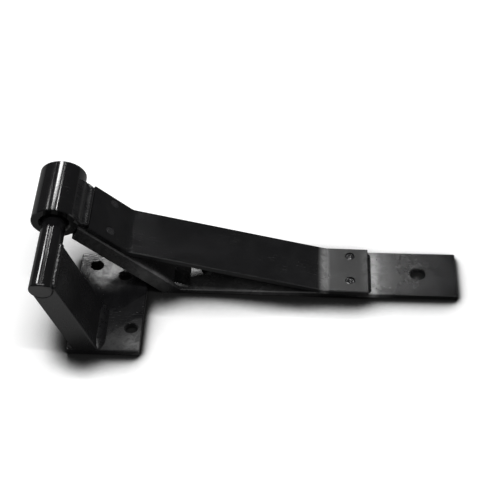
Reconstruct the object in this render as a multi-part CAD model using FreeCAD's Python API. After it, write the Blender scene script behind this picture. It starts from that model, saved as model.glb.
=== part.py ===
import FreeCAD
import Part
import math
import os

# Frame: the origin is the middle of the post plate's back face.
# +X runs along the strap towards the gate, +Y up the pin, +Z out of the faces.
# The backs of the plate and of the strap lie in the plane z = 0.

# Post plate
plate_wide = 60.0
plate_long = 110.0
plate_thick = 6.0
plate_corner = 1.2
edge_break = 0.7
plate_hole = 10.5
plate_hole_places = ((51.0, 25.0), (40.0, 85.0), (14.5, 96.0))

# Hinge pin, its axis beside and above the plate
pin_diameter = 20.0
pin_overhang = 12.5
pin_height = 77.0
pin_proud = 8.0
pin_slant = 14.0
pin_foot_round = 2.0
pin_nose_chamfer = 3.0

# Leaning stand-off bar, saddled at its top to seat the pin
standoff_thick = 19.4
standoff_long = 50.0
standoff_foot = 15.7
standoff_round = 1.5

# Eye tube that turns on the pin, both ends sawn on the same slant
eye_gap = 20.0
eye_long = 60.0
eye_wall = 9.5
eye_slant = 12.0
eye_mouth = 3.2
eye_rim = 0.8
running_gap = 0.06

# Crank bar, sloping from the eye down to the strap
leaf_wide = 50.0
leaf_inset = 1.0
crank_angle = 41.0
crank_thick = 14.0
crank_below = 2.0
bar_round = 1.0

# Strap bar
strap_thick = 5.0
strap_long = 236.0
strap_corner = 1.2
strap_hole = 13.0
strap_hole_margin = 33.0
strap_hole_spacing = 180.0

# Brace, a strip folded twice with a flange on the crank and one on the strap
brace_wide = 51.0
brace_thick = 5.0
brace_askew = 0.9
brace_bend = 8.0
brace_start = 23.0
upper_flange = 41.0
lower_flange = 37.0
brace_end_margin = 76.0
plug_hole = 8.5
lower_plug_spacing = 29.0
upper_plug_spacing = 33.0
upper_plug_shift = 4.0
upper_plug_margin = 21.0
lower_plug_margin = 15.5
plug_sunk = 0.8

# Weld beads
foot_weld = 5.0
pin_weld = 3.0
pin_weld_drop = 1.6
eye_weld_crown = 1.6
under_weld = 7.0
toe_weld = 8.0
brace_weld = 4.0

# Places that follow from the sizes
pin_radius = pin_diameter / 2
eye_radius = pin_radius + running_gap + eye_wall
plate_left = -plate_wide / 2
plate_low = -plate_long / 2
pin_x = plate_left - pin_overhang
pin_low = plate_low
standoff_high = plate_low + standoff_long
eye_low = standoff_high + eye_gap
eye_high = eye_low + eye_long
eye_slip = math.tan(math.radians(eye_slant))
pin_slip = math.tan(math.radians(pin_slant))
eye_drop = 2 * eye_radius * eye_slip
pin_high = eye_high + pin_proud
leaf_low = eye_low + leaf_inset
leaf_high = leaf_low + leaf_wide
leaf_middle = (leaf_low + leaf_high) / 2
slope = math.radians(crank_angle)
crank_top = crank_thick - crank_below
crank_bottom = -crank_below
along_y = FreeCAD.Vector(0, 1, 0)
along_z = FreeCAD.Vector(0, 0, 1)


def at(x, z, y=0.0):
    return FreeCAD.Vector(x, y, z)


# A point of the crank's section: distance down the slope from the pin axis, and rise above it
def crank_point(run, rise):
    x = pin_x + run * math.cos(slope) + rise * math.sin(slope)
    z = pin_height - run * math.sin(slope) + rise * math.cos(slope)
    return at(x, z)


# How far down the slope a line at this rise meets the height z
def run_at_height(rise, z):
    return (pin_height + rise * math.cos(slope) - z) / math.sin(slope)


# Straight edges through the points, with an arc wherever a point gives a middle point too
def outline(points):
    edges = []
    last = len(points)
    for i in range(last):
        start = points[i]
        end = points[(i + 1) % last]
        if isinstance(end, tuple):
            edges.append(Part.Arc(start, end[0], end[1]).toShape())
            points[(i + 1) % last] = end[1]
        else:
            edges.append(Part.LineSegment(start, end).toShape())
    return Part.Wire(edges)


# A section in the XZ plane, drawn out along Y
def prism(points, low, high):
    wire = outline(points)
    wire.translate(along_y * low)
    return Part.Face(wire).extrude(along_y * (high - low))


def rod(radius, low, high, x, z):
    return Part.makeCylinder(radius, high - low, at(x, z, low), along_y)


def drill(shape, diameter, x, y, low, high):
    tool = Part.makeCylinder(diameter / 2, high - low, at(x, low, y), along_z)
    return shape.cut(tool)


# Edges that run the same way as a vector
def edges_along(shape, direction):
    found = []
    for edge in shape.Edges:
        if not isinstance(edge.Curve, (Part.Line, Part.LineSegment)):
            continue
        run = edge.Vertexes[-1].Point - edge.Vertexes[0].Point
        if run.cross(direction).Length < 1e-6 * run.Length:
            found.append(edge)
    return found


# Long edges of a bar: straight, and lying in one of its two side faces
def side_edges(shape, low, high, shortest):
    found = []
    for edge in shape.Edges:
        if not isinstance(edge.Curve, (Part.Line, Part.LineSegment)):
            continue
        box = edge.BoundBox
        flat = box.YLength < 1e-6
        on_side = abs(box.YMin - low) < 1e-6 or abs(box.YMin - high) < 1e-6
        if flat and on_side and edge.Length > shortest:
            found.append(edge)
    return found


def point_at(edge):
    return edge.CenterOfMass


# Outer edges and hole rims of a flat bar, right of the given place
def flat_rims(shape, thick, right_of):
    found = []
    for edge in shape.Edges:
        box = edge.BoundBox
        level = box.ZLength < 1e-6
        on_face = abs(box.ZMin) < 1e-6 or abs(box.ZMax - thick) < 1e-6
        if level and on_face and point_at(edge).x > right_of:
            found.append(edge)
    return found


# Post plate with rounded corners and three fixing holes
def make_post_plate():
    shape = Part.makeBox(plate_wide, plate_long, plate_thick, at(plate_left, 0, plate_low))
    shape = shape.makeFillet(plate_corner, edges_along(shape, along_z))
    for across, up in plate_hole_places:
        shape = drill(shape, plate_hole, plate_left + across, plate_low + up, 0, plate_thick)
    return shape.makeChamfer(edge_break, flat_rims(shape, plate_thick, plate_left - 1))


# Axis of the stand-off: from the middle of its foot to the pin
foot_middle = at(plate_left + standoff_foot, plate_thick)
pin_point = at(pin_x, pin_height)
lean = (pin_point - foot_middle).normalize()
sideways = FreeCAD.Vector(lean.z, 0, -lean.x)


# Where a face of the bar, this far to the right of its middle, meets the plate
def standoff_corner(offset):
    along = -offset * sideways.z / lean.z
    return foot_middle + sideways * offset + lean * along


# Stand-off bar, cut level at the foot and hollowed to the pin at the top
def make_standoff_bar():
    half = standoff_thick / 2
    points = [
        standoff_corner(-half),
        standoff_corner(half),
        pin_point + sideways * half,
        pin_point - sideways * half,
    ]
    shape = prism(points, plate_low, standoff_high)
    shape = shape.makeFillet(standoff_round, side_edges(shape, plate_low, standoff_high, plate_wide))
    return shape.cut(rod(pin_radius, plate_low, standoff_high, pin_x, pin_height))


# Everything beyond a plane that crosses y at this height and slants back below it
def beyond_slant(y, height, slip, way):
    reach = eye_long
    points = [
        at(0, height + reach, y - reach * slip),
        at(0, height - reach, y + reach * slip),
        at(0, height - reach, y + way * 2 * reach),
        at(0, height + reach, y + way * 2 * reach),
    ]
    wire = outline(points)
    wire.translate(FreeCAD.Vector(pin_x - reach, 0, 0))
    return Part.Face(wire).extrude(FreeCAD.Vector(2 * reach, 0, 0))


# Slanted rims round the pin's axis, of this radius
def end_rims(shape, radius):
    found = []
    for edge in shape.Edges:
        box = edge.BoundBox
        if box.YLength < eye_drop + 1 and abs(box.XLength - 2 * radius) < radius / 10:
            found.append(edge)
    return found


# Pin: its foot sawn on a slant and rounded, its nose chamfered
def make_hinge_pin():
    edge = pin_x + pin_radius
    bottom = pin_height - pin_radius
    start = pin_low - 3 * pin_radius * pin_slip
    profile = outline([
        at(pin_x, pin_height, start),
        at(edge, pin_height, start),
        at(edge, pin_height, pin_high - pin_nose_chamfer),
        at(edge - pin_nose_chamfer, pin_height, pin_high),
        at(pin_x, pin_height, pin_high),
    ])
    shape = Part.Face(profile).revolve(at(pin_x, pin_height), along_y, 360)
    shape = shape.cut(beyond_slant(pin_low, bottom, pin_slip, -1))
    foot_rims = [e for e in end_rims(shape, pin_radius) if e.BoundBox.YMax < standoff_high]
    return shape.makeFillet(pin_foot_round, foot_rims)


# Eye tube with slanted ends, a countersunk mouth at each and the outer rims broken
def make_eye_tube():
    bore = pin_radius + running_gap
    low = eye_low - eye_wall
    high = eye_high + eye_drop + eye_wall
    shape = rod(eye_radius, low, high, pin_x, pin_height).cut(rod(bore, low, high, pin_x, pin_height))
    top = pin_height + eye_radius
    for y, way in ((eye_low, -1), (eye_high, 1)):
        shape = shape.cut(beyond_slant(y, top, eye_slip, way))
    shape = shape.makeChamfer(eye_mouth, end_rims(shape, bore))
    return shape.makeChamfer(eye_rim, end_rims(shape, eye_radius))


strap_left = crank_point(run_at_height(crank_top, strap_thick), crank_top).x
strap_right = strap_left + strap_long


# Crank bar: coped to the tube above, cut level with the strap's back below
def make_crank_bar():
    toe = crank_point(run_at_height(crank_bottom, 0), crank_bottom)
    points = [
        crank_point(0, crank_bottom),
        toe,
        at(strap_left, 0),
        at(strap_left, strap_thick),
        crank_point(0, crank_top),
    ]
    shape = prism(points, leaf_low, leaf_high)
    shape = shape.makeFillet(bar_round, side_edges(shape, leaf_low, leaf_high, 3 * crank_thick))
    return shape.cut(rod(eye_radius, eye_low, eye_high + eye_drop, pin_x, pin_height))


# Strap bar with two fixing holes, rounded at its free end
def make_strap_bar():
    shape = Part.makeBox(strap_long, leaf_wide, strap_thick, at(strap_left, 0, leaf_low))
    ends = [e for e in edges_along(shape, along_z) if point_at(e).x > strap_left + strap_long / 2]
    shape = shape.makeFillet(strap_corner, ends)
    for i in range(2):
        x = strap_right - strap_hole_margin - i * strap_hole_spacing
        shape = drill(shape, strap_hole, x, leaf_middle, 0, strap_thick)
    return shape.makeChamfer(edge_break, flat_rims(shape, strap_thick, strap_left + strap_thick))


brace_right = strap_right - brace_end_margin


# The four corners of the folded strip's underside, from the eye to the free end
def brace_underside():
    return [
        crank_point(brace_start, crank_top),
        crank_point(brace_start + upper_flange, crank_top),
        at(brace_right - lower_flange, strap_thick),
        at(brace_right, strap_thick),
    ]


# Unit normal of a straight stretch, on its upper side
def upward(start, end):
    run = (end - start).normalize()
    return FreeCAD.Vector(-run.z, 0, run.x)


# The same corners one thickness higher, mitred at the folds
def brace_topside(under):
    normals = [upward(under[i], under[i + 1]) for i in range(3)]
    top = [under[0] + normals[0] * brace_thick]
    for i in (1, 2):
        mean = (normals[i - 1] + normals[i]).normalize()
        top.append(under[i] + mean * (brace_thick / mean.dot(normals[i])))
    top.append(under[3] + normals[2] * brace_thick)
    return top


# A drill for a plug hole, square to the flange it goes through
def plug_rod(middle, normal, radius, low, high):
    return Part.makeCylinder(radius, high - low, middle + normal * low, normal)


# Middle of a plug hole on the strip's underside, with the flange's normal
def plug_seat(flange, side):
    under = brace_underside()
    if flange == "upper":
        down = (under[1] - under[0]).normalize()
        y = leaf_middle + upper_plug_shift + side * upper_plug_spacing / 2
        return under[0] + down * upper_plug_margin + along_y * y, upward(under[0], under[1])
    y = leaf_middle + side * lower_plug_spacing / 2
    return under[3] - FreeCAD.Vector(lower_plug_margin, 0, 0) + along_y * y, along_z


# The strip seen from above: it sits a little askew, its free end nearer the eye's lower side
def askew_plan():
    under = brace_underside()
    middle = at((under[0].x + under[3].x) / 2, 0, leaf_middle)
    length = under[3].x - under[0].x + 4 * brace_wide
    plan = Part.makeBox(length, brace_wide, 4 * pin_height)
    plan.translate(middle - FreeCAD.Vector(length / 2, brace_wide / 2, pin_height))
    plan.rotate(middle, along_z, -brace_askew)
    return plan


# Long edges of the strip at its two sides, and the top edge of its free end
def strip_rims(shape, under):
    found = []
    for edge in shape.Edges:
        box = edge.BoundBox
        at_side = box.YLength < edge.Length / 20
        at_foot = box.XMax < under[0].x + brace_thick and edge.Length < 2 * brace_thick
        at_end = box.XMin > under[3].x - 1e-3 and box.ZMin > strap_thick + brace_thick - 1e-3
        upright = box.ZLength > brace_thick - 1e-3 and box.XLength < 1e-3
        if (at_side and not at_foot and not upright) or at_end:
            found.append(edge)
    return found


# Folded brace: mitred strip, folds rounded inside and out, plug holes through both flanges
def make_brace():
    under = brace_underside()
    top = brace_topside(under)
    shape = prism(under + top[::-1], leaf_low - brace_thick, leaf_high + brace_thick)
    for corners, radius in ((under, brace_bend + brace_thick), (top, brace_bend)):
        for corner in (corners[1], corners[2]):
            folds = [
                e for e in edges_along(shape, along_y)
                if abs(point_at(e).x - corner.x) < 1e-3 and abs(point_at(e).z - corner.z) < 1e-3
            ]
            shape = shape.makeFillet(radius, folds)
    shape = shape.common(askew_plan())
    shape = shape.makeChamfer(edge_break, strip_rims(shape, under))
    for flange in ("upper", "lower"):
        for side in (-1, 1):
            middle, normal = plug_seat(flange, side)
            shape = shape.cut(plug_rod(middle, normal, plug_hole / 2, -brace_thick, 2 * brace_thick))
    return shape


# A plug weld fills its hole to a little under the flange's top, with a hollow centre
def make_plug(flange, side):
    middle, normal = plug_seat(flange, side)
    height = brace_thick - plug_sunk
    shape = plug_rod(middle, normal, plug_hole / 2, 0, height)
    dish = plug_hole
    sink = dish * math.cos(math.asin(plug_hole / 2 / dish))
    return shape.cut(Part.makeSphere(dish, middle + normal * (height + sink)))


# A fillet bead in a corner: two toes and a bulged face between them
def bead(corner, first, second, bulge):
    middle = (first + second) * 0.5
    outward = middle - corner
    crown = middle + outward.normalize() * bulge
    return [corner, first, (crown, second)]


# Beads along the foot of the stand-off, one each side and one across its upper end
def make_foot_weld(side):
    half = standoff_thick / 2
    corner = standoff_corner(side * half)
    first = corner + FreeCAD.Vector(side * foot_weld, 0, 0)
    second = corner + lean * foot_weld
    return prism(bead(corner, first, second, foot_weld / 12), plate_low, standoff_high)


def make_foot_weld_end():
    half = standoff_thick / 2
    left = standoff_corner(-half).x + standoff_round
    right = standoff_corner(half).x - standoff_round
    corner = at(left, plate_thick, standoff_high)
    points = [corner, corner + along_y * foot_weld, corner + along_z * foot_weld]
    crown = (points[1] + points[2]) * 0.5 + (along_y + along_z).normalize() * (foot_weld / 12)
    edges = [
        Part.LineSegment(points[0], points[1]).toShape(),
        Part.Arc(points[1], crown, points[2]).toShape(),
        Part.LineSegment(points[2], points[0]).toShape(),
    ]
    shape = Part.Face(Part.Wire(edges)).extrude(FreeCAD.Vector(right - left, 0, 0))
    lead = at(lean.x, lean.z)
    shear = FreeCAD.Matrix()
    shear.A13 = lead.x / lead.z
    shear.A14 = -lead.x / lead.z * plate_thick
    return shape.transformGeometry(shear)


# Beads that hold the pin in its saddle, one each side
def make_pin_weld(side):
    half = standoff_thick / 2
    middle = pin_point + sideways * (side * half) - lean * pin_weld_drop
    shape = rod(pin_weld, plate_low + bar_round, standoff_high - bar_round, middle.x, middle.z)
    shape = shape.cut(rod(pin_radius, plate_low, standoff_high, pin_x, pin_height))
    return shape.cut(make_standoff_bar())


# Broad bead that fills the step between the eye tube and the brace's upper flange
def make_eye_weld():
    top = crank_top + brace_thick
    points = [
        crank_point(0, crank_top),
        crank_point(brace_start, crank_top),
        crank_point(brace_start, top - 1),
        (crank_point(brace_start - 2, top + eye_weld_crown / 2),
         crank_point(brace_start - 5, top + eye_weld_crown)),
        crank_point(eye_radius / 2, top + eye_weld_crown / 4),
        crank_point(0, top),
    ]
    shape = prism(points, leaf_low + bar_round, leaf_high - bar_round)
    return shape.cut(rod(eye_radius, eye_low, eye_high + eye_drop, pin_x, pin_height))


# Bead under the crank, against the tube, short of the tube's slanted end
def make_under_weld():
    reach = math.sqrt(eye_radius ** 2 - crank_below ** 2)
    points = [
        crank_point(0, crank_bottom),
        (crank_point(reach + under_weld / 2.5, crank_bottom - under_weld / 2.5),
         crank_point(reach - under_weld / 3, crank_bottom - under_weld)),
    ]
    points.insert(1, crank_point(reach + under_weld, crank_bottom))
    shape = prism(points, eye_low + eye_drop, leaf_high - bar_round)
    return shape.cut(rod(eye_radius, eye_low, eye_high + eye_drop, pin_x, pin_height))


# Bead in the corner where the crank meets the strap
def make_toe_weld():
    corner = at(strap_left, strap_thick)
    first = corner + FreeCAD.Vector(toe_weld, 0, 0)
    second = corner + FreeCAD.Vector(-math.cos(slope), 0, math.sin(slope)) * toe_weld
    return prism(bead(corner, first, second, toe_weld / 12), leaf_low + bar_round, leaf_high - bar_round)


# Bead across the strap at the brace's free end
def make_brace_weld():
    corner = at(brace_right, strap_thick)
    first = corner + FreeCAD.Vector(brace_weld, 0, 0)
    second = corner + along_z * brace_weld
    return prism(bead(corner, first, second, brace_weld / 12), leaf_low + bar_round, leaf_high - bar_round)


nodes = {
    "post_plate": make_post_plate(),
    "standoff_bar": make_standoff_bar(),
    "hinge_pin": make_hinge_pin(),
    "foot_weld_right": make_foot_weld(1),
    "foot_weld_left": make_foot_weld(-1),
    "foot_weld_end": make_foot_weld_end(),
    "pin_weld_right": make_pin_weld(1),
    "pin_weld_left": make_pin_weld(-1),
    "eye_tube": make_eye_tube(),
    "crank_bar": make_crank_bar(),
    "strap_bar": make_strap_bar(),
    "brace": make_brace(),
    "eye_weld_top": make_eye_weld(),
    "eye_weld_under": make_under_weld(),
    "crank_toe_weld": make_toe_weld(),
    "brace_end_weld": make_brace_weld(),
    "plug_weld_upper_near": make_plug("upper", -1),
    "plug_weld_upper_far": make_plug("upper", 1),
    "plug_weld_lower_near": make_plug("lower", -1),
    "plug_weld_lower_far": make_plug("lower", 1),
}

os.makedirs("parts", exist_ok=True)
for name, shape in nodes.items():
    shape.exportStep(os.path.join("parts", name + ".step"))
    box = shape.BoundBox
    print(name, shape.isValid(), len(shape.Solids), round(shape.Volume / 1000, 2),
          [round(v, 1) for v in (box.XMin, box.YMin, box.ZMin, box.XMax, box.YMax, box.ZMax)])
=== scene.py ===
import math
import random

import bmesh
import bpy
from mathutils import Matrix, Vector


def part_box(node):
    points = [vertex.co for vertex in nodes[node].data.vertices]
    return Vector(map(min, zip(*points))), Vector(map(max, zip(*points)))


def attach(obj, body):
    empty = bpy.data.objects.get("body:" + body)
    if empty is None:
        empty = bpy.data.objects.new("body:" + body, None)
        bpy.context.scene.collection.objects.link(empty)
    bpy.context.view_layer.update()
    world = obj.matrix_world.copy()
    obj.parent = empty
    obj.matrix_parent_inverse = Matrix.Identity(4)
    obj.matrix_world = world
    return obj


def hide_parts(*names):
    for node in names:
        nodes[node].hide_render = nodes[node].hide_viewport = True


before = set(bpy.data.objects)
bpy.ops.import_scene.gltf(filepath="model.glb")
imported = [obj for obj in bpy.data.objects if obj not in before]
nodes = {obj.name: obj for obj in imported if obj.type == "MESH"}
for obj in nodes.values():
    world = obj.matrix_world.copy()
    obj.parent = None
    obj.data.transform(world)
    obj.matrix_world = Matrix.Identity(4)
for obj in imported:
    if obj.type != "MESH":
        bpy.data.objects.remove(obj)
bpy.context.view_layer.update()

millimetre = 0.001


# small helpers for node trees

def link(tree, fromSocket, toSocket):
    tree.links.new(fromSocket, toSocket)


def addNode(tree, kind, **values):
    node = tree.nodes.new(kind)
    for key, value in values.items():
        setattr(node, key, value)
    return node


def feed(tree, socket, value):
    if isinstance(value, (int, float, tuple)):
        socket.default_value = value
    else:
        link(tree, value, socket)


def setInputs(node, **values):
    for key, value in values.items():
        node.inputs[key].default_value = value


def mathNode(tree, operation, first, second=None):
    node = addNode(tree, "ShaderNodeMath", operation=operation)
    feed(tree, node.inputs[0], first)
    if second is not None:
        feed(tree, node.inputs[1], second)
    return node.outputs[0]


def rangeNode(tree, value, fromLow, fromHigh, toLow=0.0, toHigh=1.0, smooth=False):
    node = addNode(tree, "ShaderNodeMapRange")
    if smooth:
        node.interpolation_type = "SMOOTHSTEP"
    feed(tree, node.inputs["Value"], value)
    for key, level in (("From Min", fromLow), ("From Max", fromHigh), ("To Min", toLow), ("To Max", toHigh)):
        node.inputs[key].default_value = level
    return node.outputs["Result"]


def rampNode(tree, factor, stops):
    node = addNode(tree, "ShaderNodeValToRGB")
    ramp = node.color_ramp
    while len(ramp.elements) < len(stops):
        ramp.elements.new(0.5)
    for element, (place, level) in zip(ramp.elements, stops):
        element.position = place
        element.color = (level, level, level, 1.0)
    link(tree, factor, node.inputs["Fac"])
    return node.outputs["Color"]


def noiseNode(tree, vector, scale, detail=4.0, roughness=0.5, distortion=0.0):
    node = addNode(tree, "ShaderNodeTexNoise")
    setInputs(node, Detail=detail, Roughness=roughness, Distortion=distortion)
    feed(tree, node.inputs["Scale"], scale)
    link(tree, vector, node.inputs["Vector"])
    return node.outputs["Fac"]


def mixColour(tree, factor, first, second):
    node = addNode(tree, "ShaderNodeMix", data_type="RGBA")
    feed(tree, node.inputs["Factor"], factor)
    feed(tree, node.inputs[6], first)
    feed(tree, node.inputs[7], second)
    return node.outputs[2]


def stretched(tree, vector, turn, scale):
    node = addNode(tree, "ShaderNodeMapping")
    setInputs(node, Rotation=turn, Scale=scale)
    link(tree, vector, node.inputs["Vector"])
    return node.outputs["Vector"]


def newGroup(name, inputs, outputs):
    group = bpy.data.node_groups.new(name, "ShaderNodeTree")
    for socketName, kind, default in inputs:
        socket = group.interface.new_socket(socketName, in_out="INPUT", socket_type=kind)
        if default is not None:
            socket.default_value = default
    for socketName, kind in outputs:
        group.interface.new_socket(socketName, in_out="OUTPUT", socket_type=kind)
    return group, group.nodes.new("NodeGroupInput"), group.nodes.new("NodeGroupOutput")


# sprayed paint: orange peel, cloudy sheen and fine dust in the film
film = {
    "cloudDetail": 6.0, "cloudRoughness": 0.62, "cloudDistortion": 0.3, "cloudFrom": 0.32, "cloudTo": 0.74,
    "grainScale": 1900.0, "grainDetail": 2.0, "grainRoughness": 0.7, "dustFrom": 0.6, "dustTo": 0.74,
    "dustOutsideCloud": 0.35, "peelDetail": 1.5, "peelRoughness": 0.4, "cloudHeight": 2.0, "dustHeight": 0.12,
}


def buildPaintGroup():
    inputs = [
        ("Vector", "NodeSocketVector", None),
        ("Colour", "NodeSocketColor", (0.005, 0.005, 0.005, 1.0)),
        ("Haze Colour", "NodeSocketColor", (0.03, 0.03, 0.03, 1.0)),
        ("Haze", "NodeSocketFloat", 0.3),
        ("Cloud Scale", "NodeSocketFloat", 40.0),
        ("Peel Scale", "NodeSocketFloat", 600.0),
        ("Smooth", "NodeSocketFloat", 0.2),
        ("Rough", "NodeSocketFloat", 0.4),
    ]
    outputs = [
        ("Colour", "NodeSocketColor"),
        ("Roughness", "NodeSocketFloat"),
        ("Height", "NodeSocketFloat"),
    ]
    group, given, result = newGroup("sprayedPaint", inputs, outputs)
    vector = given.outputs["Vector"]
    cloud = noiseNode(group, vector, given.outputs["Cloud Scale"], film["cloudDetail"], film["cloudRoughness"],
                      film["cloudDistortion"])
    patches = rangeNode(group, cloud, film["cloudFrom"], film["cloudTo"], smooth=True)
    grain = noiseNode(group, vector, film["grainScale"], film["grainDetail"], film["grainRoughness"])
    dust = rangeNode(group, grain, film["dustFrom"], film["dustTo"])
    dusty = mathNode(group, "MULTIPLY", dust, mathNode(group, "ADD", patches, film["dustOutsideCloud"]))
    haze = mathNode(group, "MULTIPLY", mathNode(group, "ADD", patches, dusty), given.outputs["Haze"])
    colour = mixColour(group, haze, given.outputs["Colour"], given.outputs["Haze Colour"])
    link(group, colour, result.inputs["Colour"])
    span = mathNode(group, "SUBTRACT", given.outputs["Rough"], given.outputs["Smooth"])
    rough = mathNode(group, "ADD", given.outputs["Smooth"], mathNode(group, "MULTIPLY", span, patches))
    link(group, rough, result.inputs["Roughness"])
    peel = noiseNode(group, vector, given.outputs["Peel Scale"], film["peelDetail"], film["peelRoughness"])
    height = mathNode(group, "ADD", peel, mathNode(group, "MULTIPLY", cloud, film["cloudHeight"]))
    height = mathNode(group, "ADD", height, mathNode(group, "MULTIPLY", dust, film["dustHeight"]))
    link(group, height, result.inputs["Height"])
    return group


# thin pale scratches and rubbed spots where the bars were handled
scuffing = {
    "directions": ((0.6, 16.0), (-0.35, 22.0), (1.7, 18.0)),  # turn of the scratches, and how drawn out they are
    "lineDetail": 2.0, "lineRoughness": 0.6, "lineStops": [(0.665, 0.0), (0.69, 1.0), (0.71, 0.0)],
    "patchScale": 26.0, "patchDetail": 3.0, "patchRoughness": 0.6, "patchFrom": 0.5, "patchTo": 0.66,
    "spotScale": 420.0, "spotDetail": 2.0, "spotRoughness": 0.5, "spotFrom": 0.7, "spotTo": 0.76,
}


def buildScuffGroup():
    inputs = [
        ("Vector", "NodeSocketVector", None),
        ("Amount", "NodeSocketFloat", 0.5),
        ("Scale", "NodeSocketFloat", 60.0),
    ]
    group, given, result = newGroup("handlingScuffs", inputs, [("Mask", "NodeSocketFloat")])
    vector = given.outputs["Vector"]
    total = None
    for turn, across in scuffing["directions"]:
        lines = noiseNode(group, stretched(group, vector, (0.0, 0.0, turn), (1.0, across, 1.0)),
                          given.outputs["Scale"], scuffing["lineDetail"], scuffing["lineRoughness"])
        thin = rampNode(group, lines, scuffing["lineStops"])
        total = thin if total is None else mathNode(group, "MAXIMUM", total, thin)
    where = noiseNode(group, vector, scuffing["patchScale"], scuffing["patchDetail"], scuffing["patchRoughness"])
    patch = rangeNode(group, where, scuffing["patchFrom"], scuffing["patchTo"], smooth=True)
    rubbed = noiseNode(group, vector, scuffing["spotScale"], scuffing["spotDetail"], scuffing["spotRoughness"])
    spots = rangeNode(group, rubbed, scuffing["spotFrom"], scuffing["spotTo"])
    mask = mathNode(group, "MULTIPLY", mathNode(group, "ADD", total, spots), patch)
    mask = mathNode(group, "MULTIPLY", mask, given.outputs["Amount"])
    link(group, mask, result.inputs["Mask"])
    return group


# painted light: a soft patch round one place, broken up by cloud, that paints a lighter grey where light falls on
# the paint (painted sheen and highlight) or makes the paint duller
patchCloud = {"scale": 130.0, "detail": 5.0, "roughness": 0.65, "distortion": 0.6, "from": 0.36, "to": 0.64}


def buildPaintedLightGroup():
    inputs = [
        ("Vector", "NodeSocketVector", None),
        ("Centre", "NodeSocketVector", (0.0, 0.0, 0.0)),
        ("Reach", "NodeSocketVector", (0.05, 0.05, 0.05)),
        ("Mottle", "NodeSocketFloat", 0.5),
    ]
    group, given, result = newGroup("paintedLightPatch", inputs, [("Mask", "NodeSocketFloat")])
    away = addNode(group, "ShaderNodeVectorMath", operation="SUBTRACT")
    link(group, given.outputs["Vector"], away.inputs[0])
    link(group, given.outputs["Centre"], away.inputs[1])
    share = addNode(group, "ShaderNodeVectorMath", operation="DIVIDE")
    link(group, away.outputs[0], share.inputs[0])
    link(group, given.outputs["Reach"], share.inputs[1])
    far = addNode(group, "ShaderNodeVectorMath", operation="LENGTH")
    link(group, share.outputs[0], far.inputs[0])
    near = rangeNode(group, far.outputs["Value"], 1.0, 0.0, smooth=True)
    cloud = noiseNode(group, given.outputs["Vector"], patchCloud["scale"], patchCloud["detail"],
                      patchCloud["roughness"], patchCloud["distortion"])
    broken = rangeNode(group, cloud, patchCloud["from"], patchCloud["to"], smooth=True)
    whole = mathNode(group, "SUBTRACT", 1.0, given.outputs["Mottle"])
    kept = mathNode(group, "ADD", whole, mathNode(group, "MULTIPLY", broken, given.outputs["Mottle"]))
    link(group, mathNode(group, "MULTIPLY", near, kept), result.inputs["Mask"])
    return group


paintGroup = buildPaintGroup()
scuffGroup = buildScuffGroup()
paintedLightGroup = buildPaintedLightGroup()
bumpDistance = 0.2 * millimetre


def paintedSteel(name, look):
    material = bpy.data.materials.new(name)
    material.use_nodes = True
    tree = material.node_tree
    shader = tree.nodes["Principled BSDF"]
    place = addNode(tree, "ShaderNodeTexCoord").outputs["Object"]
    mapping = addNode(tree, "ShaderNodeMapping")
    setInputs(mapping, Location=look["shift"], Rotation=look["turn"])
    link(tree, place, mapping.inputs["Vector"])
    vector = mapping.outputs["Vector"]
    paint = addNode(tree, "ShaderNodeGroup", node_tree=paintGroup)
    link(tree, vector, paint.inputs["Vector"])
    paint.inputs["Colour"].default_value = (*look["colour"], 1.0)
    paint.inputs["Haze Colour"].default_value = (*look["hazeColour"], 1.0)
    for key, socketName in (("haze", "Haze"), ("cloudScale", "Cloud Scale"), ("peelScale", "Peel Scale"),
                            ("smooth", "Smooth"), ("rough", "Rough")):
        paint.inputs[socketName].default_value = look[key]
    colour = paint.outputs["Colour"]
    roughness = paint.outputs["Roughness"]
    # each patch paints in its grey level (painted light) and adds its roughness
    for centre, reach, mottle, level, roughen in look["patches"]:
        patch = addNode(tree, "ShaderNodeGroup", node_tree=paintedLightGroup)
        link(tree, place, patch.inputs["Vector"])
        patch.inputs["Centre"].default_value = centre
        patch.inputs["Reach"].default_value = reach
        patch.inputs["Mottle"].default_value = mottle
        colour = mixColour(tree, patch.outputs["Mask"], colour, (level, level, level, 1.0))
        added = mathNode(tree, "MULTIPLY", patch.outputs["Mask"], roughen)
        roughness = mathNode(tree, "ADD", roughness, added)
    scuff = addNode(tree, "ShaderNodeGroup", node_tree=scuffGroup)
    link(tree, vector, scuff.inputs["Vector"])
    scuff.inputs["Amount"].default_value = look["scuffs"]
    scuff.inputs["Scale"].default_value = look["scuffScale"]
    colour = mixColour(tree, scuff.outputs["Mask"], colour, (*look["scuffColour"], 1.0))
    link(tree, colour, shader.inputs["Base Color"])
    link(tree, roughness, shader.inputs["Roughness"])
    bump = addNode(tree, "ShaderNodeBump")
    setInputs(bump, Strength=look["bump"], Distance=bumpDistance)
    link(tree, paint.outputs["Height"], bump.inputs["Height"])
    link(tree, bump.outputs["Normal"], shader.inputs["Normal"])
    shader.inputs["Specular IOR Level"].default_value = look["specular"]
    return material
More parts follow.
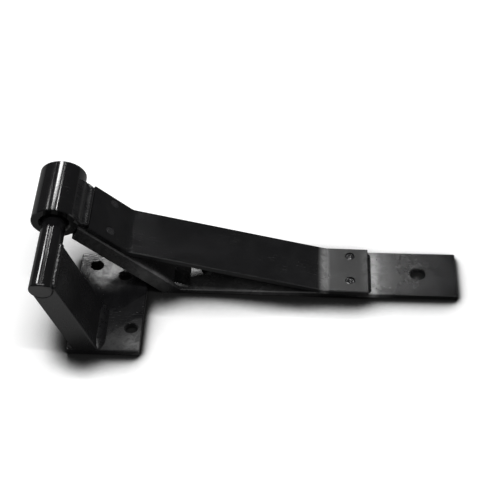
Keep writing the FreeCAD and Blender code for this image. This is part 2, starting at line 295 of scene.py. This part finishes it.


# each patch: centre, reach, mottle, grey level, added roughness. The grey level is painted light: a lighter grey
# where light falls on the paint
plateLook = {
    "shift": (0.0, 0.0, 0.0), "turn": (0.0, 0.0, 0.0),
    "colour": (0.0055, 0.0055, 0.006), "hazeColour": (0.022, 0.022, 0.023), "haze": 0.35,
    "cloudScale": 42.0, "peelScale": 520.0, "smooth": 0.05, "rough": 0.08,
    "scuffs": 0.5, "scuffScale": 60.0, "scuffColour": (0.09, 0.09, 0.09), "bump": 0.1, "specular": 0.5,
    "patches": [
        # painted sheen: these patches paint the plate lighter grey at its far end between the holes and towards
        # its near edge, where a lamp's sheen falls
        ((-0.003, 0.032, 0.006), (0.026, 0.026, 0.02), 0.6, 0.1, 0.13),
        ((0.026, -0.047, 0.006), (0.022, 0.024, 0.02), 0.6, 0.09, 0.08),
        ((0.008, -0.042, 0.006), (0.016, 0.022, 0.02), 0.8, 0.03, 0.02),
    ],
}
strapLook = dict(
    plateLook, shift=(0.2, 0.4, 0.0), haze=0.3, cloudScale=36.0, smooth=0.17, rough=0.27, scuffs=0.8,
    patches=[
        # painted highlight: the first three patches paint the strap's top lighter beside the brace's end,
        # brightest next to it and fading to the right, where a lamp is mirrored
        ((0.2205, 0.041, 0.005), (0.028, 0.06, 0.02), 0.5, 0.17, 0.03),
        ((0.2225, 0.041, 0.005), (0.008, 0.06, 0.02), 0.5, 0.32, 0.0),
        ((0.252, 0.041, 0.005), (0.03, 0.04, 0.02), 0.9, 0.03, 0.05),
        # painted light: these two lift the strap's shaded top under the brace
        ((0.077, 0.03, 0.005), (0.02, 0.03, 0.02), 0.6, 0.05, 0.1),
        ((0.13, 0.03, 0.005), (0.07, 0.04, 0.02), 0.3, 0.1, 0.1),
    ],
)
# the stand-off's paint is a lighter grey than the other bars' to stand in for more light on its faces: painted
# light
standoffLook = dict(plateLook, shift=(0.1, 0.7, 0.3), colour=(0.011, 0.011, 0.0115), haze=0.25,
                    cloudScale=30.0, smooth=0.2, rough=0.32, scuffs=0.25, patches=[])
braceLook = dict(
    plateLook, shift=(0.9, 0.1, 0.0), colour=(0.0065, 0.0065, 0.007), haze=0.25, cloudScale=34.0, smooth=0.12,
    rough=0.19, scuffs=0.3,
    patches=[
        ((0.206, 0.041, 0.01), (0.05, 0.12, 0.03), 0.3, 0.012, 0.34),
        # painted highlight along the lower fold, and painted sheen at the brace's end on the lower flange
        ((0.1808, 0.041, 0.011), (0.006, 0.08, 0.02), 0.3, 0.2, 0.0),
        ((0.2175, 0.041, 0.011), (0.008, 0.05, 0.02), 0.7, 0.07, 0.0),
    ],
)
crankLook = dict(
    plateLook, shift=(0.6, 0.2, 0.1), haze=0.25, smooth=0.22, rough=0.34, scuffs=0.3,
    patches=[
        # painted reflection: both patches paint the crank's near face lighter grey, as if it mirrored the bright
        # floor in front
        ((0.0, 0.016, 0.045), (0.08, 0.006, 0.08), 0.4, 0.045, 0.0),
        ((0.034, 0.016, 0.022), (0.03, 0.008, 0.03), 0.5, 0.12, 0.05),
    ],
)
roundLook = dict(
    plateLook, shift=(0.0, 0.9, 0.0), haze=0.1, cloudScale=30.0, peelScale=380.0, smooth=0.09, rough=0.13,
    scuffs=0.25, bump=0.05, patches=[],
)
pinLook = dict(roundLook, shift=(0.5, 0.0, 0.0), smooth=0.11, rough=0.17, scuffs=0.35)
weldLook = dict(
    plateLook, shift=(0.0, 0.3, 0.8), haze=0.15, cloudScale=160.0, peelScale=900.0, smooth=0.24, rough=0.4,
    scuffs=0.1, bump=0.12, patches=[],
)
plugLook = dict(weldLook, colour=(0.02, 0.02, 0.021), smooth=0.14, rough=0.24)

looks = {
    "plate": paintedSteel("platePaint", plateLook),
    "strap": paintedSteel("strapPaint", strapLook),
    "standoff": paintedSteel("standoffPaint", standoffLook),
    "brace": paintedSteel("bracePaint", braceLook),
    "crank": paintedSteel("crankPaint", crankLook),
    "eye": paintedSteel("eyePaint", roundLook),
    "pin": paintedSteel("pinPaint", pinLook),
    "weld": paintedSteel("weldPaint", weldLook),
    "plug": paintedSteel("plugPaint", plugLook),
}


def dress(nodeName, material):
    for slot in nodes[nodeName].material_slots:
        slot.material = material


for nodeName, look in (("post_plate", "plate"), ("strap_bar", "strap"), ("standoff_bar", "standoff"),
                       ("brace", "brace"), ("crank_bar", "crank"), ("eye_tube", "eye"), ("hinge_pin", "pin")):
    dress(nodeName, looks[look])
print("painted the bars")


# where the welds go, in millimetres in the frame's own directions
plan = {
    "pinX": -42.5, "pinZ": 77.0, "plateTop": 6.0, "plateLeft": -30.0,
    "standoffFoot": 15.7, "standoffHalf": 9.7, "standoffLow": -55.0, "standoffHigh": -5.0,
    "slope": math.radians(41.0), "crankTop": 12.0, "crankBottom": -2.0, "eyeRadius": 19.56,
    "strapTop": 5.0, "leafLow": 16.0, "leafHigh": 66.0,
}
lean = Vector((
    plan["pinX"] - plan["plateLeft"] - plan["standoffFoot"], 0.0, plan["pinZ"] - plan["plateTop"],
)).normalized()
sideways = Vector((lean.z, 0.0, -lean.x))
footMiddle = Vector((plan["plateLeft"] + plan["standoffFoot"], 0.0, plan["plateTop"]))
downSlope = Vector((math.cos(plan["slope"]), 0.0, -math.sin(plan["slope"])))
upSlope = Vector((math.sin(plan["slope"]), 0.0, math.cos(plan["slope"])))
pinCentre = Vector((plan["pinX"], 0.0, plan["pinZ"]))
alongX, alongY, alongZ = Vector((1.0, 0.0, 0.0)), Vector((0.0, 1.0, 0.0)), Vector((0.0, 0.0, 1.0))
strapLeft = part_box("strap_bar")[0].x / millimetre
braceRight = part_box("brace")[1].x / millimetre
mergeWithin = 0.00001 * millimetre


def footCorner(side):
    offset = side * plan["standoffHalf"]
    return footMiddle + sideways * offset - lean * (offset * sideways.z / lean.z)


def finishPiece(build, name, body, replaced, material):
    bmesh.ops.remove_doubles(build, verts=build.verts[:], dist=mergeWithin)
    bmesh.ops.recalc_face_normals(build, faces=build.faces[:])
    mesh = bpy.data.meshes.new(name)
    build.to_mesh(mesh)
    build.free()
    mesh.materials.append(material)
    for polygon in mesh.polygons:
        polygon.use_smooth = True
    piece = bpy.data.objects.new(name, mesh)
    bpy.context.scene.collection.objects.link(piece)
    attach(piece, body)
    if replaced:
        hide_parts(replaced)
    return piece


# sections of a bead: (first leg, second leg, place across the bead). The place runs from -1 to 1 over the seen
# face, and the points inside the steel carry hiddenPlace
hiddenPlace = 9.0
buried = -0.4


def filletProfile(size, crown, count=12):
    points = [(buried, buried, hiddenPlace), (size, buried, hiddenPlace)]
    for i in range(count + 1):
        share = i / count
        rise = crown * 4.0 * share * (1.0 - share) / math.sqrt(2.0)
        points.append((size * (1.0 - share) + rise, size * share + rise, 2.0 * share - 1.0))
    points.append((buried, size, hiddenPlace))
    return points


def roundProfile(radius, count=16):
    points = []
    for i in range(count):
        angle = 2.0 * math.pi * i / count
        points.append((radius * math.cos(angle), radius * math.sin(angle), math.sin(angle)))
    return points


rippling = {
    "longEdge": 0.9, "cutsPerRipple": 6, "spareDraws": 4, "endLeft": 0.15, "firstRipple": 2.0,
    "crestMiddle": 0.6, "swell": 0.25, "edgeFade": 0.75, "fadePower": 4,
}


# draws the section out along a line, cuts it into rings, then works the ripples in
def rippledBead(name, bead):
    generator = random.Random(bead["seed"])
    start = bead["start"]
    run = bead["end"] - start
    length = run.length
    axis = run.normalized()
    first, second = bead["first"], bead["second"]
    build = bmesh.new()
    across = build.verts.layers.float.new("across")
    loop = []
    for a, b, place in bead["profile"]:
        vert = build.verts.new(start + first * a + second * b)
        vert[across] = place
        loop.append(vert)
    face = build.faces.new(loop)
    drawn = bmesh.ops.extrude_face_region(build, geom=[face])["geom"]
    bmesh.ops.translate(build, verts=[g for g in drawn if isinstance(g, bmesh.types.BMVert)], vec=run)
    longest = length * rippling["longEdge"]
    longEdges = [e for e in build.edges if abs((e.verts[1].co - e.verts[0].co).dot(axis)) > longest]
    cuts = int(length / bead["pitch"] * rippling["cutsPerRipple"])
    bmesh.ops.subdivide_edges(build, edges=longEdges, cuts=cuts, use_grid_fill=True)
    count = len(bead["profile"])
    middleFirst = sum(a for a, b, place in bead["profile"]) / count
    middleSecond = sum(b for a, b, place in bead["profile"]) / count
    centre = first * middleFirst + second * middleSecond
    draws = int(length / bead["pitch"]) + rippling["spareDraws"]
    jitter = [generator.uniform(-1.0, 1.0) for i in range(draws)]
    for vert in build.verts:
        along = (vert.co - start).dot(axis)
        base = start + axis * along
        offset = vert.co - base
        place = vert[across]
        edge = max(0.0, min(along, length - along))
        taper = math.sqrt(min(1.0, (edge + rippling["endLeft"]) / bead["endRound"]))
        if place < hiddenPlace / 2:
            bow = bead["bow"] * (1.0 - place * place)
            phase = along / bead["pitch"] - bow + rippling["firstRipple"]
            ripple = int(max(0.0, phase)) % len(jitter)
            inside = phase - math.floor(phase)
            crest = math.sqrt(max(0.0, 1.0 - (2.0 * inside - 1.0) ** 2)) - rippling["crestMiddle"]
            swell = 1.0 + rippling["swell"] * jitter[ripple]
            fade = 1.0 - rippling["edgeFade"] * place ** rippling["fadePower"]
            outward = (offset - centre).normalized()
            offset = offset + outward * (bead["ripple"] * crest * swell * fade)
            offset = offset + outward * (bead["wander"] * jitter[ripple] * (1.0 - abs(place)))
        if bead["shrinkToMiddle"]:
            vert.co = base + centre + (offset - centre) * taper
        else:
            vert.co = base + offset * taper
    bmesh.ops.scale(build, verts=build.verts[:], vec=(millimetre,) * 3)
    return finishPiece(build, name, bead["body"], bead["node"], looks["weld"])


# how far the beads stop short of what they run along
inset = {"leaf": 1.0, "foot": 0.2, "footEnd": 1.5, "braceFar": 1.5, "pin": 1.2, "pad": 0.2}
pinBeadDrop = 1.6  # below the pin's axis, along the stand-off
underBeadLow = 24.0  # where the bead under the crank begins, along Y
standoffLow, standoffHigh = plan["standoffLow"], plan["standoffHigh"]
leafLow, leafHigh = plan["leafLow"] + inset["leaf"], plan["leafHigh"] - inset["leaf"]
strapTop = plan["strapTop"]
footRight, footLeft = footCorner(1), footCorner(-1)
plainBead = {
    "first": alongX, "second": alongZ, "profile": filletProfile(5.0, 0.7), "pitch": 2.3, "bow": 0.55,
    "ripple": 0.22, "wander": 0.12, "endRound": 3.0, "shrinkToMiddle": False, "body": "post_bracket",
}
beads = {
    "footBeadRight": dict(
        plainBead, node="foot_weld_right", second=lean, seed=5, endRound=9.0, ripple=0.16,
        start=footRight + alongY * (standoffLow + inset["foot"]), end=footRight + alongY * standoffHigh,
    ),
    "footBeadLeft": dict(
        plainBead, node="foot_weld_left", first=-alongX, second=lean, seed=6,
        start=footLeft + alongY * (standoffLow + inset["foot"]), end=footLeft + alongY * standoffHigh,
    ),
    "footBeadEnd": dict(
        plainBead, node="foot_weld_end", first=alongY, second=alongZ, seed=7, profile=filletProfile(4.8, 0.6),
        start=footLeft + alongX * inset["footEnd"] + alongY * standoffHigh,
        end=footRight - alongX * inset["footEnd"] + alongY * standoffHigh,
    ),
    "toeBead": dict(
        plainBead, node="crank_toe_weld", first=alongX, second=-downSlope, seed=8, body="gate_strap",
        profile=filletProfile(7.6, 0.9), pitch=2.7, ripple=0.3,
        start=Vector((strapLeft, leafLow, strapTop)), end=Vector((strapLeft, leafHigh, strapTop)),
    ),
    "braceEndBead": dict(
        plainBead, node="brace_end_weld", seed=9, body="gate_strap", profile=filletProfile(2.7, 0.35),
        pitch=2.0, ripple=0.2,
        start=Vector((braceRight, leafLow, strapTop)),
        end=Vector((braceRight, leafHigh - inset["braceFar"], strapTop)),
    ),
}
pinBeads = ((1, "pinBeadRight", "pin_weld_right", 10), (-1, "pinBeadLeft", "pin_weld_left", 11))
for side, name, node, seed in pinBeads:
    middle = pinCentre + sideways * (side * plan["standoffHalf"]) - lean * pinBeadDrop
    beads[name] = dict(
        plainBead, node=node, seed=seed, first=sideways * side, second=lean, profile=roundProfile(2.55),
        pitch=5.4, ripple=0.42, wander=0.2, endRound=2.6, shrinkToMiddle=True,
        start=middle + alongY * (standoffLow + inset["pin"]), end=middle + alongY * (standoffHigh - inset["pin"]),
    )

reach = math.sqrt(plan["eyeRadius"] ** 2 - plan["crankBottom"] ** 2)
underCorner = pinCentre + downSlope * reach + upSlope * plan["crankBottom"]
beads["underBead"] = dict(
    plainBead, node="eye_weld_under", seed=12, body="gate_strap", first=downSlope, second=-upSlope,
    profile=[(-3.0, -0.6, hiddenPlace), (6.4, -0.6, hiddenPlace), (6.6, 0.4, -1.0), (5.4, 1.5, -0.6),
             (3.8, 2.9, -0.2), (2.0, 4.4, 0.2), (0.2, 5.6, 0.6), (-1.6, 6.4, 1.0), (-3.4, 5.6, hiddenPlace)],
    start=underCorner + alongY * underBeadLow, end=underCorner + alongY * leafHigh,
)
for name, bead in beads.items():
    rippledBead(name, bead)
print("laid", len(beads), "weld beads")


# the broad pad between eye and brace: two passes side by side, each with its own ripples
eyePad = {
    "pitch": 2.7, "ripple": 0.17, "wander": 0.12, "bow": 0.7, "endRound": 2.6, "seed": 21, "placeReach": 0.9,
    "top": [(3.4, 18.6), (4.6, 18.85), (5.8, 19.05), (7.0, 19.2), (8.2, 19.3), (9.4, 19.3), (10.6, 19.1),
            (11.8, 18.65), (12.9, 18.0), (14.0, 17.35), (15.1, 16.85), (16.1, 16.7), (17.2, 16.95), (18.3, 17.5),
            (19.4, 18.1), (20.4, 18.45), (21.2, 18.35), (21.9, 17.7), (22.4, 16.7)],
    "hidden": [(22.9, 15.2), (22.9, 11.6), (9.0, 11.6), (4.2, 17.6)],
}


def makeEyePad():
    reach, last = eyePad["placeReach"], len(eyePad["top"]) - 1
    profile = [(run, rise, -reach + 2.0 * reach * i / last) for i, (run, rise) in enumerate(eyePad["top"])]
    profile += [(run, rise, hiddenPlace) for run, rise in eyePad["hidden"]]
    bead = dict(
        plainBead, node="eye_weld_top", body="gate_strap", first=downSlope, second=upSlope, profile=profile,
        pitch=eyePad["pitch"], ripple=eyePad["ripple"], wander=eyePad["wander"], bow=eyePad["bow"],
        endRound=eyePad["endRound"], shrinkToMiddle=True, seed=eyePad["seed"],
        start=pinCentre + alongY * (leafLow + inset["pad"]), end=pinCentre + alongY * leafHigh,
    )
    return rippledBead("eyePad", bead)


makeEyePad()
print("laid the eye's pad")


# plug welds: a low nugget with a crater, standing a little over the flange
braceStart, braceSlopeMargin, lowerMargin = 23.0, 21.0, 15.5
upperFoot = pinCentre + downSlope * (braceStart + braceSlopeMargin) + upSlope * plan["crankTop"]
lowerFoot = Vector((braceRight - lowerMargin, 0.0, strapTop))
plugs = {
    "plugUpperNear": {
        "node": "plug_weld_upper_near", "foot": upperFoot + alongY * 28.5, "up": upSlope, "radius": 4.25,
        "top": 4.9, "crown": 0.25, "crater": 0.9, "craterShare": 0.42, "seed": 31,
    },
    "plugUpperFar": {
        "node": "plug_weld_upper_far", "foot": upperFoot + alongY * 61.5, "up": upSlope, "radius": 4.25,
        "top": 4.8, "crown": 0.2, "crater": 0.7, "craterShare": 0.35, "seed": 32,
    },
    "plugLowerNear": {
        "node": "plug_weld_lower_near", "foot": lowerFoot + alongY * 26.5, "up": alongZ, "radius": 4.25,
        "top": 4.3, "crown": 0.5, "crater": 2.2, "craterShare": 0.4, "seed": 33,
    },
    "plugLowerFar": {
        "node": "plug_weld_lower_far", "foot": lowerFoot + alongY * 55.5, "up": alongZ, "radius": 4.25,
        "top": 4.4, "crown": 1.3, "crater": 0.35, "craterShare": 0.25, "seed": 34,
    },
}
nugget = {
    "gap": 0.02, "underside": 0.2, "rimDrop": 0.5, "rings": 9, "edgeDrop": 0.25, "domePower": 2.2, "wave": 0.07,
    "steps": 28, "mergeWithin": 0.0005, "largestPhase": 6.28, "draws": 3, "sideDrop": 0.4, "middleRadius": 0.01,
    "secondLump": 0.6, "lumpHeight": 0.13, "lumpReach": 1.5,
}


def makePlug(name, plug):
    generator = random.Random(plug["seed"])
    build = bmesh.new()
    rim, top, rings = plug["radius"] - nugget["gap"], plug["top"], nugget["rings"]
    section = [(0.0, nugget["underside"]), (rim, nugget["underside"]), (rim, top - nugget["rimDrop"])]
    for i in range(rings + 1):
        share = 1.0 - i / rings
        radius = rim * share
        rise = (plug["crown"] + nugget["edgeDrop"]) * (1.0 - share ** nugget["domePower"])
        dome = top - nugget["edgeDrop"] + rise
        pit = plug["crater"] * math.exp(-(share / plug["craterShare"]) ** 2)
        wave = nugget["wave"] * math.cos(share * rings * math.pi)
        section.append((radius, dome - pit + wave))
    verts = [build.verts.new((radius, 0.0, height)) for radius, height in section]
    edges = [build.edges.new((verts[i], verts[i + 1])) for i in range(len(verts) - 1)]
    bmesh.ops.spin(build, geom=verts + edges, cent=(0.0, 0.0, 0.0), axis=alongZ, dvec=(0.0, 0.0, 0.0),
                   angle=2.0 * math.pi, steps=nugget["steps"], use_merge=True, use_duplicate=False)
    bmesh.ops.remove_doubles(build, verts=build.verts[:], dist=nugget["mergeWithin"])
    phases = [generator.uniform(0.0, nugget["largestPhase"]) for i in range(nugget["draws"])]
    for vert in build.verts:
        radius = math.hypot(vert.co.x, vert.co.y)
        if vert.co.z < top - nugget["sideDrop"] or radius < nugget["middleRadius"]:
            continue
        angle = math.atan2(vert.co.y, vert.co.x)
        lumpy = math.sin(2.0 * angle + phases[0])
        lumpy += nugget["secondLump"] * math.sin(3.0 * angle + phases[1] + radius)
        vert.co.z += nugget["lumpHeight"] * lumpy * min(1.0, radius / nugget["lumpReach"])
    turn = alongZ.rotation_difference(plug["up"]).to_matrix()
    bmesh.ops.transform(build, matrix=turn.to_4x4(), verts=build.verts[:])
    bmesh.ops.translate(build, verts=build.verts[:], vec=plug["foot"])
    bmesh.ops.scale(build, verts=build.verts[:], vec=(millimetre,) * 3)
    return finishPiece(build, name, "gate_strap", plug["node"], looks["plug"])


for name, plug in plugs.items():
    makePlug(name, plug)
print("filled", len(plugs), "plug holes")


# weld spatter: droplets that stuck to the steel and were painted over, each with its place and radius
spatter = {
    "gateSpatter": {
        "body": "gate_strap", "seed": 41,
        "drops": [((-37.6, 15.9, 95.6), 0.75), ((-22.6, 52.0, 87.6), 0.45), ((70.5, 24.0, 5.0), 0.5),
                  ((72.8, 47.5, 5.0), 0.4), ((69.2, 58.0, 5.0), 0.6), ((225.4, 22.4, 5.0), 0.45),
                  ((226.8, 57.0, 5.0), 0.55), ((229.5, 36.0, 5.0), 0.35)],
    },
    "postSpatter": {
        "body": "post_bracket", "seed": 42,
        "drops": [((3.6, -41.0, 6.0), 0.5), ((5.4, -22.0, 6.0), 0.4), ((6.8, -49.5, 6.0), 0.35),
                  ((-14.0, 4.6, 6.0), 0.55), ((-6.5, 6.9, 6.0), 0.4), ((9.8, -12.0, 6.0), 0.5),
                  ((-27.6, -30.0, 6.0), 0.4)],
    },
}
dropWidth, dropHeight = (0.8, 1.25), (0.7, 0.9)


def makeSpatter(name, group):
    generator = random.Random(group["seed"])
    build = bmesh.new()
    for place, radius in group["drops"]:
        drop = bmesh.ops.create_icosphere(build, subdivisions=2, radius=radius)["verts"]
        squash = (1.0, generator.uniform(*dropWidth), generator.uniform(*dropHeight))
        bmesh.ops.scale(build, verts=drop, vec=squash)
        bmesh.ops.translate(build, verts=drop, vec=place)
    bmesh.ops.scale(build, verts=build.verts[:], vec=(millimetre,) * 3)
    return finishPiece(build, name, group["body"], None, looks["weld"])


for name, group in spatter.items():
    makeSpatter(name, group)
print("added the spatter")


# studio floor, lamps and camera

studio = {
    "floorSize": 8.0,
    "floorColour": 0.86,
    "floorLift": 0.3,  # what the camera sees added, so that the open floor reads white
    "floorInMetal": 0.16,  # how much of the white floor behind the hinge shows in the paint
    "floorInFront": 0.62,
    "frontFrom": -0.02, "frontTo": -0.16,  # where along Y the floor behind turns into the floor in front
    "floorShade": (0.012, 0.012, 0.012, 1.0), "bounceShade": (0.05, 0.05, 0.05, 1.0), "floorRoughness": 0.9,
    # painted floor shadow: occlusion near the hinge, behind its edges and under its raised parts darkens the
    # floor's colour and its lift
    "occlusionSamples": 12, "shadePower": 1.2,
    "contactReach": 0.02, "contactRange": (0.6, 0.97),
    "underReach": 0.07, "underRange": (0.45, 0.86, 0.35, 1.0),
    "shadowReach": 0.028, "shadowRange": (0.56, 0.94), "shadowFrom": (0.08, 0.88, 0.46),
    "eye": (0.153, -0.7686, 0.8484),  # where the lens stood
    "pitch": 45.30, "yaw": -2.54, "roll": 0.45,  # degrees
    "lens": 97.3, "sensor": 36.0,
    "roomLight": 0.06,
}
white, black = (1.0, 1.0, 1.0, 1.0), (0.0, 0.0, 0.0, 1.0)


def occlusionNode(tree, reach):
    node = addNode(tree, "ShaderNodeAmbientOcclusion", samples=studio["occlusionSamples"])
    node.inputs["Distance"].default_value = reach
    return node


def makeFloor():
    mesh = bpy.data.meshes.new("studioFloor")
    build = bmesh.new()
    bmesh.ops.create_grid(build, x_segments=1, y_segments=1, size=studio["floorSize"] / 2)
    build.to_mesh(mesh)
    build.free()
    floor = bpy.data.objects.new("studioFloor", mesh)
    bpy.context.scene.collection.objects.link(floor)
    material = bpy.data.materials.new("floorWhite")
    material.use_nodes = True
    tree = material.node_tree
    shader = tree.nodes["Principled BSDF"]
    setInputs(shader, Roughness=studio["floorRoughness"])
    shader.inputs["Specular IOR Level"].default_value = 0.0
    # painted shadow: the occlusion masks below darken the floor's colour and its lift near and under the hinge
    contact = occlusionNode(tree, studio["contactReach"])
    closed = rangeNode(tree, contact.outputs["AO"], *studio["contactRange"])
    cast = occlusionNode(tree, studio["shadowReach"])
    towards = addNode(tree, "ShaderNodeCombineXYZ")
    setInputs(towards, **dict(zip("XYZ", studio["shadowFrom"])))
    link(tree, towards.outputs[0], cast.inputs["Normal"])
    shaded = rangeNode(tree, cast.outputs["AO"], *studio["shadowRange"])
    soft = mathNode(tree, "POWER", mathNode(tree, "MULTIPLY", closed, shaded), studio["shadePower"])
    under = occlusionNode(tree, studio["underReach"])
    soft = mathNode(tree, "MULTIPLY", soft, rangeNode(tree, under.outputs["AO"], *studio["underRange"]))
    openFloor = (studio["floorColour"],) * 3 + (1.0,)
    openLift = (studio["floorLift"],) * 3 + (1.0,)
    link(tree, mixColour(tree, soft, studio["floorShade"], openFloor), shader.inputs["Base Color"])
    link(tree, mixColour(tree, soft, black, openLift), shader.inputs["Emission Color"])
    shader.inputs["Emission Strength"].default_value = 1.0
    grey = addNode(tree, "ShaderNodeBsdfDiffuse")
    grey.inputs["Color"].default_value = studio["bounceShade"]
    path = addNode(tree, "ShaderNodeLightPath")
    place = addNode(tree, "ShaderNodeTexCoord").outputs["Object"]
    split = addNode(tree, "ShaderNodeSeparateXYZ")
    link(tree, place, split.inputs[0])
    front = rangeNode(tree, split.outputs["Y"], studio["frontFrom"], studio["frontTo"], studio["floorInMetal"],
                      studio["floorInFront"], smooth=True)
    inMetal = mathNode(tree, "MULTIPLY", path.outputs["Is Glossy Ray"], front)
    seen = mathNode(tree, "MAXIMUM", path.outputs["Is Camera Ray"], inMetal)
    seen = mathNode(tree, "MAXIMUM", seen, path.outputs["Is Transmission Ray"])
    choose = addNode(tree, "ShaderNodeMixShader")
    link(tree, seen, choose.inputs[0])
    link(tree, grey.outputs[0], choose.inputs[1])
    link(tree, shader.outputs[0], choose.inputs[2])
    link(tree, choose.outputs[0], tree.nodes["Material Output"].inputs["Surface"])
    mesh.materials.append(material)
    return floor


# unit vector for a bearing clockwise from +Y and a height above the floor
def pointing(bearing, height):
    flat = math.cos(height)
    return Vector((math.sin(bearing) * flat, math.cos(bearing) * flat, math.sin(height)))


def makeCamera():
    data = bpy.data.cameras.new("camera")
    data.lens = studio["lens"]
    data.sensor_width = studio["sensor"]
    camera = bpy.data.objects.new("camera", data)
    bpy.context.scene.collection.objects.link(camera)
    pitch, yaw, roll = (math.radians(studio[key]) for key in ("pitch", "yaw", "roll"))
    forward = pointing(yaw, -pitch)
    right = Vector((math.cos(yaw), -math.sin(yaw), 0.0))
    down = forward.cross(right)
    across = math.cos(roll) * right + math.sin(roll) * down
    below = -math.sin(roll) * right + math.cos(roll) * down
    turn = Matrix((across, -below, -forward)).transposed()
    camera.matrix_world = Matrix.Translation(studio["eye"]) @ turn.to_4x4()
    bpy.context.scene.camera = camera


# every lamp: point it serves, bearing and height in degrees, distance, width, height, brightness
lamps = {
    "overhead": ((0.1, -0.6, 0.0), 0.0, 89.0, 1.7, 1.9, 2.4, 1.3),
    "backPanel": ((-0.04, 0.0, 0.0), 0.0, 51.0, 2.0, 0.6, 0.68, 0.35),
    "eyeStrip": ((-0.042, 0.035, 0.096), -7.6, 39.9, 4.0, 0.72, 0.48, 24.0),
    "pinStrip": ((-0.042, -0.02, 0.087), -33.4, 38.1, 1.8, 0.26, 0.19, 20.0),
    "edgeStrip": ((0.1, -0.05, 0.0), 180.0, 84.0, 1.6, 1.8, 0.1, 22.0),
    "foldStrip": ((0.205, 0.041, 0.005), 3.8, 46.2, 3.0, 0.1, 0.14, 34.0),
    "rightFill": ((0.0, 0.0, 0.06), 26.0, 20.0, 1.8, 0.16, 0.3, 0.35),
    "leftFill": ((-0.042, 0.0, 0.08), -50.0, 28.0, 1.8, 0.2, 0.6, 0.3),
}


def addLamp(name, lamp):
    target, bearing, height, distance, wide, tall, brightness = lamp
    way = pointing(math.radians(bearing), math.radians(height))
    data = bpy.data.lights.new(name, "AREA")
    data.shape = "RECTANGLE"
    data.size = wide
    data.size_y = tall
    data.energy = brightness * math.pi * wide * tall
    lampObject = bpy.data.objects.new(name, data)
    lampObject.location = Vector(target) + way * distance
    lampObject.rotation_euler = (-way).to_track_quat("-Z", "Y").to_euler()
    bpy.context.scene.collection.objects.link(lampObject)


def makeWorld():
    world = bpy.data.worlds.new("studioRoom")
    world.use_nodes = True
    background = world.node_tree.nodes["Background"]
    background.inputs["Color"].default_value = white
    background.inputs["Strength"].default_value = studio["roomLight"]
    bpy.context.scene.world = world


makeFloor()
makeCamera()
makeWorld()
for name, lamp in lamps.items():
    addLamp(name, lamp)
bpy.context.scene.view_settings.view_transform = "Standard"
print("studio ready")

bpy.context.view_layer.update()
